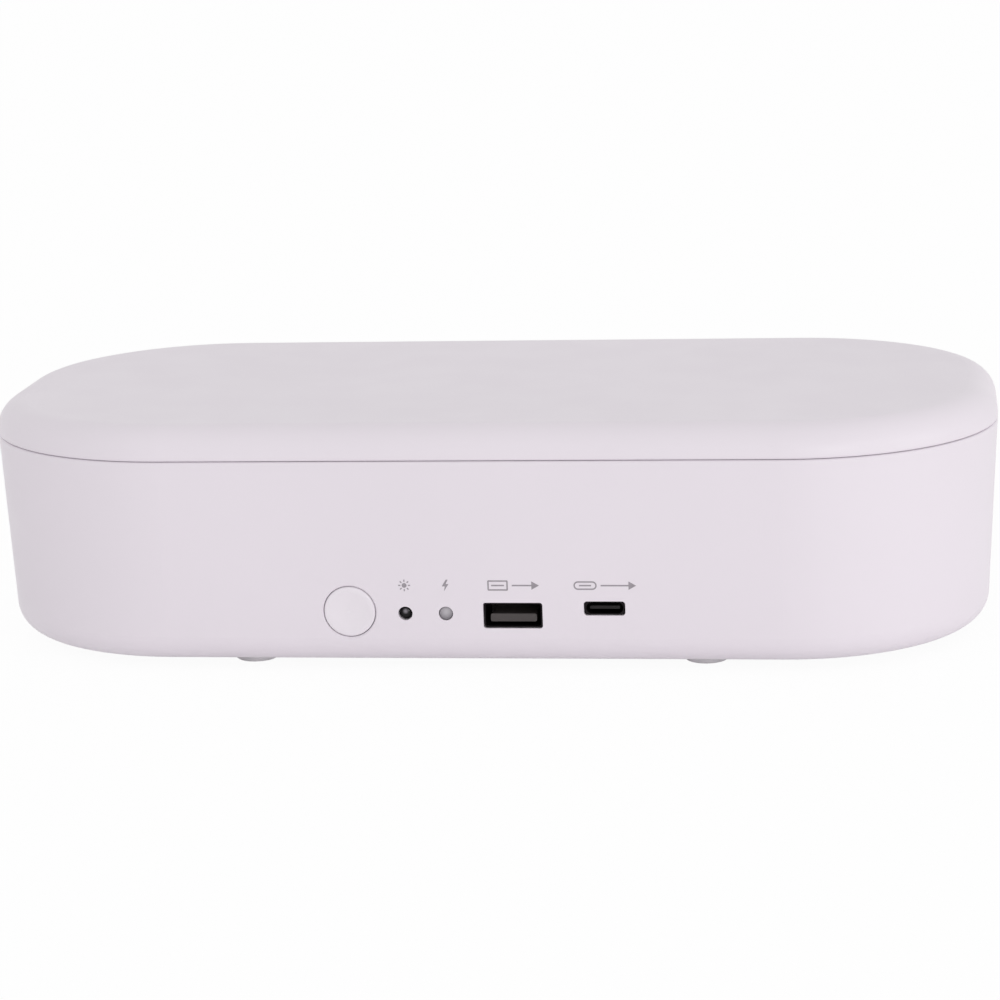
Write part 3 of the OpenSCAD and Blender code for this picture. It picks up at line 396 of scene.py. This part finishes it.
# circuit boards: solder mask over rows of faint tracks; lengths and widths of the rows in centimetres,
# and a shift along the board, as a share of a row's length, for each row or for every second one
boardLooks = {
    "greenBoard": {"mask": screenColour(24, 84, 52), "track": screenColour(44, 118, 74), "rough": 0.34,
                   "long": 1.3, "row": 0.13, "line": 0.02, "shift": 0.37, "shiftEvery": 2},
    "whiteBoard": {"mask": screenColour(226, 228, 226), "track": screenColour(210, 206, 196), "rough": 0.42,
                   "long": 40.0, "row": 0.5, "line": 0.04, "shift": 0.5, "shiftEvery": 1},
}
boardSurface = {"perMetre": 100.0, "trackRise": 0.03 * mm, "patchScale": 300, "roughSwing": 0.05}


def boardFinish(name, look):
    mat, tree, shader, where = startFinish(name)
    rows = tree.nodes.new("ShaderNodeTexBrick")
    rows.offset = look["shift"]
    rows.offset_frequency = look["shiftEvery"]
    rows.inputs["Scale"].default_value = boardSurface["perMetre"]
    rows.inputs["Brick Width"].default_value = look["long"]
    rows.inputs["Row Height"].default_value = look["row"]
    rows.inputs["Mortar Size"].default_value = look["line"]
    tree.links.new(where, rows.inputs["Vector"])
    line = rows.outputs["Fac"]
    paint(tree, shader, line, look["mask"], look["track"])
    patch = noise(tree, where, boardSurface["patchScale"], plainNoise)
    swing = boardSurface["roughSwing"]
    roughen(tree, shader, patch, look["rough"] - swing, look["rough"] + swing)
    emboss(tree, shader, line, boardSurface["trackRise"])
    return mat


for name, look in boardLooks.items():
    finishes[name] = boardFinish(name, look)


# enamelled wire between the two ferrite rims of the coil, painted darker between its turns as shade; a rim
# is given as a share of the height
coilLook = {"wire": screenColour(176, 96, 48), "between": 0.55, "ferrite": screenColour(60, 58, 60),
            "rim": 0.195, "rimBlur": 0.02 * mm, "turns": 1500.0, "turnRise": 0.03 * mm,
            "wireMetallic": 0.7, "wireRough": 0.32, "ferriteRough": 0.6}


def coilFinish(name, look, low, high):
    mat, tree, shader, where = startFinish(name)
    apart = tree.nodes.new("ShaderNodeSeparateXYZ")
    tree.links.new(where, apart.inputs[0])
    above = maths(tree, "SUBTRACT", apart.outputs["Z"], (low + high) / 2)
    away = maths(tree, "ABSOLUTE", above)
    edge = (high - low) * (0.5 - look["rim"])
    onRim = spread(tree, away, 0, 1, (edge - look["rimBlur"], edge + look["rimBlur"]))
    wire = tree.nodes.new("ShaderNodeTexWave")
    wire.bands_direction = "Z"
    wire.inputs["Scale"].default_value = look["turns"]
    tree.links.new(where, wire.inputs["Vector"])
    # painted shade: the wire's colour darkened in the troughs between turns
    turnsWithPaintedShade = blendColours(tree, wire.outputs["Fac"], tinted(look["wire"], look["between"]), look["wire"])
    paint(tree, shader, onRim, turnsWithPaintedShade, look["ferrite"])
    emboss(tree, shader, wire.outputs["Fac"], look["turnRise"])
    tree.links.new(spread(tree, onRim, look["wireMetallic"], 0, (0, 1)), shader.inputs["Metallic"])
    roughen(tree, shader, onRim, look["wireRough"], look["ferriteRough"], (0, 1))
    return mat


coilLow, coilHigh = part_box("driver_coil")
finishes["coilWire"] = coilFinish("coilWire", coilLook, coilLow[2], coilHigh[2])


# translucent grey silicone feet
footLook = {"colour": screenColour(224, 220, 224), "cloudScale": 160, "dark": 0.94, "light": 1.04,
            "grainScale": 2200, "grainDepth": 0.02 * mm, "grainStrength": 0.6, "rough": 0.5,
            "through": 0.15, "throughReach": 2 * mm, "throughScale": 0.6}


def footFinish(name, look):
    mat, tree, shader, where = startFinish(name)
    colour = look["colour"]
    cloud = spread(tree, noise(tree, where, look["cloudScale"], fineNoise), 0, 1)
    paint(tree, shader, cloud, tinted(colour, look["dark"]), tinted(colour, look["light"]))
    grain = noise(tree, where, look["grainScale"], plainNoise)
    emboss(tree, shader, grain, look["grainDepth"], look["grainStrength"])
    shader.inputs["Roughness"].default_value = look["rough"]
    shader.inputs["Subsurface Weight"].default_value = look["through"]
    shader.inputs["Subsurface Radius"].default_value = (look["throughReach"],) * 3
    shader.inputs["Subsurface Scale"].default_value = look["throughScale"]
    return mat


finishes["footSilicone"] = footFinish("footSilicone", footLook)

nodesOfFinish = {
    "shellPlastic": ("base_shell", "lid_shell"),
    "buttonPlastic": ("power_button",),
    "chamberCoat": ("chamber_tub", "lid_liner"),
    "windowGlass": ("floor_window", "lid_window"),
    "whiteBoard": ("floor_lamp_board", "lid_lamp_board"),
    "greenBoard": ("main_board", "power_board"),
    "screwSteel": ("floor_board_screws", "board_screws", "lid_board_screws", "liner_screws",
                   "case_screws"),
    "pinSteel": ("hinge_pins", "inlet_pin", "indicator_legs"),
    "cableSheath": ("board_link", "sensor_lead", "floor_lamp_lead", "case_lead", "lid_lead"),
    "chipPlastic": ("control_chips", "push_switch", "switch_plunger", "lid_sensor"),
    "blackMoulding": ("inlet_body",),
    "tonguePlastic": ("wide_socket_tongue",),
    "slimTonguePlastic": ("slim_socket_tongue",),
    "socketMetal": ("wide_socket_shell", "slim_socket_shell"),
    "contactPlating": ("socket_contacts",),
    "magnetPlating": ("case_magnets", "lid_magnets"),
    "coilWire": ("driver_coil",),
    "canAluminium": ("capacitors",),
    "footSilicone": ("rubber_feet",),
}
for finish, names in nodesOfFinish.items():
    for name in names:
        held = nodes[name]
        held.data.materials.clear()
        held.data.materials.append(finishes[finish])
print("finishes made for", sum(len(names) for names in nodesOfFinish.values()), "nodes")


# pieces made here
def meshFrom(name, made):
    bmesh.ops.recalc_face_normals(made, faces=made.faces)
    mesh = bpy.data.meshes.new(name)
    made.to_mesh(mesh)
    made.free()
    return mesh


def newPiece(name, body, mesh, looks):
    piece = bpy.data.objects.new(name, mesh)
    bpy.context.collection.objects.link(piece)
    for finish in looks:
        piece.data.materials.append(finish)
    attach(piece, body)
    return piece


# the leaning front face in millimetres: where a point of it lies, and which way it faces
frontWall = {"halfWidth": 58.0, "lean": 2.2 / 47.3, "rim": 49.3, "shift": -2.55}
leanAngle = math.atan(frontWall["lean"])
outward = Vector((0, -math.cos(leanAngle), -math.sin(leanAngle)))


def frontPoint(x, z, out=0.0):
    # x and z in millimetres along the front, out in millimetres square to it
    inset = frontWall["lean"] * (frontWall["rim"] - z)
    face = frontWall["shift"] - (frontWall["halfWidth"] - inset)
    return Vector((x, face - out * math.cos(leanAngle), z - out * math.sin(leanAngle))) * mm


# printed marks, as thin as ink, of plain pictures in place of words; sizes in millimetres
inkLook = {"colour": screenColour(150, 144, 150), "swing": 0.07, "patchScale": 1400, "rough": 0.5,
           "gap": 0.004, "thick": 0.03, "cornerSteps": 6, "leastCorner": 0.02}


def inkFinish(name, look):
    mat, tree, shader, where = startFinish(name)
    colour, swing = look["colour"], look["swing"]
    patchy = spread(tree, noise(tree, where, look["patchScale"], fineNoise), 0, 1)
    paint(tree, shader, patchy, tinted(colour, 1 - swing), tinted(colour, 1 + swing))
    shader.inputs["Roughness"].default_value = look["rough"]
    return mat


finishes["ink"] = inkFinish("ink", inkLook)


def roundedOutline(cx, cz, width, height, corner):
    found = []
    for qx, qz, start in ((1, 1, 0), (-1, 1, 90), (-1, -1, 180), (1, -1, 270)):
        for step in range(inkLook["cornerSteps"] + 1):
            a = math.radians(start + 90 / inkLook["cornerSteps"] * step)
            found.append((cx + qx * (width / 2 - corner) + corner * math.cos(a),
                          cz + qz * (height / 2 - corner) + corner * math.sin(a)))
    return found


def frameMark(cx, cz, width, height, corner, line):
    # a rounded frame as a strip of quads between two outlines
    outer = roundedOutline(cx, cz, width, height, corner)
    inner = roundedOutline(cx, cz, width - 2 * line, height - 2 * line,
                           max(corner - line, inkLook["leastCorner"]))
    following = list(range(1, len(outer))) + [0]
    return [[outer[i], outer[j], inner[j], inner[i]] for i, j in enumerate(following)]


def markMesh(name, patches):
    made = bmesh.new()
    for patch in patches:
        low = [made.verts.new(frontPoint(x, z, inkLook["gap"])) for x, z in patch]
        high = [made.verts.new(frontPoint(x, z, inkLook["gap"] + inkLook["thick"])) for x, z in patch]
        made.faces.new(high)
        made.faces.new(low[::-1])
        for i in range(len(patch)):
            j = (i + 1) % len(patch)
            made.faces.new((low[i], low[j], high[j], high[i]))
    bmesh.ops.remove_doubles(made, verts=made.verts, dist=0.0001 * mm)
    return meshFrom(name, made)


def bar(x0, x1, z, line):
    return [(x0, z - line / 2), (x1, z - line / 2), (x1, z + line / 2), (x0, z + line / 2)]


def arrowHead(x, z, length, height):
    return [(x, z - height / 2), (x + length, z), (x, z + height / 2)]


def rayMark(look):
    # a small lamp with rays, over the sanitizing indicator
    cx, cz = look["at"]
    turns = [2 * math.pi * k / look["discPoints"] for k in range(look["discPoints"])]
    patches = [[(cx + look["disc"] * math.cos(a), cz + look["disc"] * math.sin(a)) for a in turns]]
    for k in range(look["rays"]):
        a = 2 * math.pi * k / look["rays"]
        along, side = Vector((math.cos(a), math.sin(a))), Vector((-math.sin(a), math.cos(a)))
        start, end = along * look["rayFrom"], along * look["rayTo"]
        half = side * look["line"] / 2
        corners = (start - half, end - half, end + half, start + half)
        patches.append([(cx + p.x, cz + p.y) for p in corners])
    return patches


def boltMark(look):
    # a flash over the charging indicator, in two convex halves so that the faces stay flat
    cx, cz = look["at"]
    shape = [(0.12, 0.5), (-0.5, -0.08), (-0.06, -0.08), (-0.2, -0.5),
             (0.5, 0.12), (0.06, 0.12), (0.42, 0.5)]
    points = [(cx + px * look["width"], cz + pz * look["height"]) for px, pz in shape]
    return [[points[0], points[1], points[2], points[5], points[6]],
            [points[2], points[3], points[4], points[5]]]


def outMark(look):
    # a plug's face, and an arrow that says power comes out
    cx, cz = look["at"]
    line, head = look["line"], look["head"]
    left, tip = cx - look["length"] / 2, cx + look["length"] / 2
    plugX = left + look["plugWidth"] / 2
    patches = frameMark(plugX, cz, look["plugWidth"], look["plugHeight"], look["corner"], line)
    patches.append(bar(plugX - look["tongue"] / 2, plugX + look["tongue"] / 2, cz, line))
    patches.append(bar(left + look["plugWidth"] + look["space"], tip - head, cz, line))
    patches.append(arrowHead(tip - head, cz, head, head * look["headSpread"]))
    return patches


sanitizeMark = {"at": (-14.65, 20.65), "disc": 0.55, "discPoints": 24, "rays": 8, "rayFrom": 0.85,
                "rayTo": 1.35, "line": 0.26}
chargeMark = {"at": (-5.35, 20.65), "width": 1.5, "height": 2.7}
wideMark = {"at": (10.0, 20.65), "length": 11.6, "plugWidth": 4.6, "plugHeight": 2.4, "corner": 0.25,
            "line": 0.32, "tongue": 2.9, "space": 0.9, "head": 1.7, "headSpread": 1.15}
slimMark = {"at": (30.55, 20.65), "length": 14.0, "plugWidth": 5.2, "plugHeight": 2.0, "corner": 0.99,
            "line": 0.32, "tongue": 2.7, "space": 0.9, "head": 1.7, "headSpread": 1.15}
for name, patches in (("sanitizeMark", rayMark(sanitizeMark)), ("chargeMark", boltMark(chargeMark)),
                      ("wideMark", outMark(wideMark)), ("slimMark", outMark(slimMark))):
    newPiece(name, "case", markMesh(name, patches), [finishes["ink"]])
print("marks printed")


# the two indicator lenses: a painted highlight, pale a little above the middle, darker towards the rim
sanitizeLensLook = {
    "at": (-14.65, 14.05), "radius": 1.5, "back": -7.5, "tip": -0.35, "rise": 0.75,
    "paintedHighlight": screenColour(134, 130, 136), "rim": screenColour(9, 8, 10),
    "highlightLift": 0.45, "highlightReach": 0.85, "rough": 0.14, "specular": 0.2,
}
chargeLensLook = {
    "at": (-5.45, 14.05), "radius": 1.5, "back": -7.5, "tip": 0.0, "rise": 0.3,
    "paintedHighlight": screenColour(178, 174, 179), "rim": screenColour(112, 108, 114),
    "highlightLift": 0.45, "highlightReach": 2.2, "rough": 0.34, "specular": 0.4,
}
lensSurface = {"patchScale": 1500, "roughDown": 0.04, "roughUp": 0.06}


def turnedOnFront(name, x, z, profile, steps=48):
    # a profile turned round the axis that is square to the front; it holds a radius and a depth out
    # of the face for each ring, in millimetres, from the back to the tip
    made = bmesh.new()
    across = Vector((1, 0, 0))
    up = outward.cross(across)
    centre = frontPoint(x, z)
    turns = [2 * math.pi * k / steps for k in range(steps)]
    rings = []
    for radius, out in profile:
        middle = centre + outward * out * mm
        if radius == 0:
            rings.append([made.verts.new(middle)])
        else:
            rings.append([made.verts.new(middle + (across * math.cos(a) + up * math.sin(a)) * radius * mm)
                          for a in turns])
    for low, high in zip(rings, rings[1:]):
        for k in range(steps):
            j = (k + 1) % steps
            corners = [low[k % len(low)], low[j % len(low)], high[j % len(high)], high[k % len(high)]]
            made.faces.new(list(dict.fromkeys(corners)))
    for face in made.faces:
        face.smooth = True
    return meshFrom(name, made)


def domeProfile(look, points=9):
    # a rod whose front end is a low dome
    radius, rise = look["radius"], look["rise"]
    found = [(0, look["back"]), (radius, look["back"])]
    for k in range(points - 1):
        a = math.pi / 2 * k / (points - 1)
        found.append((radius * math.cos(a), look["tip"] - rise + rise * math.sin(a)))
    return found + [(0, look["tip"])]


def lensFinish(name, look):
    mat, tree, shader, where = startFinish(name)
    x, z = look["at"]
    away = tree.nodes.new("ShaderNodeVectorMath")
    away.operation = "DISTANCE"
    away.inputs[1].default_value = frontPoint(x, z + look["highlightLift"], look["tip"])
    tree.links.new(where, away.inputs[0])
    # painted highlight: pale near its centre, fading to the rim colour
    ring = spread(tree, away.outputs["Value"], 0, 1, (0, look["highlightReach"] * mm))
    paint(tree, shader, ring, look["paintedHighlight"], look["rim"])
    patch = noise(tree, where, lensSurface["patchScale"], plainNoise)
    roughen(tree, shader, patch, look["rough"] - lensSurface["roughDown"],
            look["rough"] + lensSurface["roughUp"])
    shader.inputs["Specular IOR Level"].default_value = look["specular"]
    return mat


for name, look, slot, node in (
        ("sanitizeLens", sanitizeLensLook, "dark_lens", "uv_indicator"),
        ("chargeLens", chargeLensLook, "grey_lens", "charge_indicator")):
    turned = turnedOnFront(name, *look["at"], domeProfile(look))
    lens = newPiece(name, "case", turned, [lensFinish(name + "Finish", look)])
    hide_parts(node)
print("indicator lenses turned")


# lamp packages: a ceramic cup with a gold rim and a quartz window over a small die; sizes in
# millimetres, the cup's height as a share of the whole
lampLook = {"count": 6, "cup": 0.72, "chamfer": 0.35, "lip": 0.12,
            "rimOuter": 1.45, "rimInner": 1.2, "rimRise": 0.06, "rimGap": 0.002, "roundSteps": 24,
            "die": 0.9, "dieChamfer": 0.05, "dieDepth": 0.1, "domeRadius": 1.18, "domeSteps": 5}
ceramicLook = {"colour": screenColour(236, 228, 204), "cloud": 0.03, "cloudScale": 300.0, "rough": 0.5,
               "grainScale": 5000.0, "grainDepth": 0.006 * mm, "waveDepth": 0.004 * mm, "specular": 0.5}
dieLook = {"colour": screenColour(92, 78, 128), "cloud": 0.15, "cloudScale": 900.0, "rough": 0.25,
           "grainScale": 6000.0, "grainDepth": 0.004 * mm, "waveDepth": 0.002 * mm, "specular": 0.5}
finishes["lampCeramic"] = mouldedFinish("lampCeramic", ceramicLook)
finishes["lampDie"] = mouldedFinish("lampDie", dieLook)
lampFinishes = ("lampCeramic", "contactPlating", "lampDie", "windowGlass")
ceramic, gold, die, quartz = range(len(lampFinishes))


def lampRow(name, node, body, up):
    # up is 1 where the lamps face upwards and -1 where they face down
    low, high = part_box(node)
    side, height = high[1] - low[1], high[2] - low[2]
    seat = low[2] if up > 0 else high[2]
    middle = (low[1] + high[1]) / 2
    step = (high[0] - low[0] - side) / (lampLook["count"] - 1)
    made = bmesh.new()

    def loopAt(cx, shape, rise):
        return [made.verts.new((cx + px, middle + py, seat + up * rise)) for px, py in shape]

    def ring(cx, radius, rise):
        turns = [2 * math.pi * k / lampLook["roundSteps"] for k in range(lampLook["roundSteps"])]
        return loopAt(cx, [(radius * math.cos(a), radius * math.sin(a)) for a in turns], rise)

    def square(cx, half, cut, rise):
        inner = half - cut
        return loopAt(cx, [(half, -inner), (half, inner), (inner, half), (-inner, half),
                           (-half, inner), (-half, -inner), (-inner, -half), (inner, -half)], rise)

    def join(loops, slot):
        for one, other in zip(loops, loops[1:]):
            for k in range(len(one)):
                j = (k + 1) % len(one)
                made.faces.new((one[k], one[j], other[j], other[k])).material_index = slot

    def cap(loop, slot):
        made.faces.new(loop).material_index = slot

    for i in range(lampLook["count"]):
        cx = low[0] + side / 2 + step * i
        # the cup
        half, cut, lip = side / 2, lampLook["chamfer"] * mm, lampLook["lip"] * mm
        cupTop = lampLook["cup"] * height
        cup = [square(cx, half, cut, 0), square(cx, half, cut, cupTop - lip),
               square(cx, half - lip, cut, cupTop)]
        cap(cup[0], ceramic)
        join(cup, ceramic)
        cap(cup[-1], ceramic)
        # the rim
        base = cupTop + lampLook["rimGap"] * mm
        rimTop = base + lampLook["rimRise"] * mm
        outer, inner = lampLook["rimOuter"] * mm, lampLook["rimInner"] * mm
        rim = [ring(cx, outer, base), ring(cx, outer, rimTop),
               ring(cx, inner, rimTop), ring(cx, inner, base)]
        join(rim + rim[:1], gold)
        # the die
        dieHalf, dieCut = lampLook["die"] * mm / 2, lampLook["dieChamfer"] * mm
        dieTop = base + lampLook["dieDepth"] * mm
        chip = [square(cx, dieHalf, dieCut, base), square(cx, dieHalf, dieCut, dieTop)]
        cap(chip[0], die)
        join(chip, die)
        cap(chip[-1], die)
        # the window
        radius, rise = lampLook["domeRadius"] * mm, height - base
        lifts = [math.pi / 2 * k / lampLook["domeSteps"] for k in range(lampLook["domeSteps"])]
        dome = [ring(cx, radius * math.cos(a), base + rise * math.sin(a)) for a in lifts]
        tip = made.verts.new((cx, middle, seat + up * height))
        cap(dome[0], quartz)
        join(dome, quartz)
        for one, other in zip(dome[-1], dome[-1][1:] + dome[-1][:1]):
            cap((one, other, tip), quartz)
    for face in made.faces:
        face.smooth = face.material_index == quartz
    mesh = meshFrom(name, made)
    row = newPiece(name, body, mesh, [finishes[finish] for finish in lampFinishes])
    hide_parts(node)


lampRow("floorLamps", "floor_uv_lamps", "case", 1)
lampRow("lidLamps", "lid_uv_lamps", "lid", -1)
print("lamps packaged")
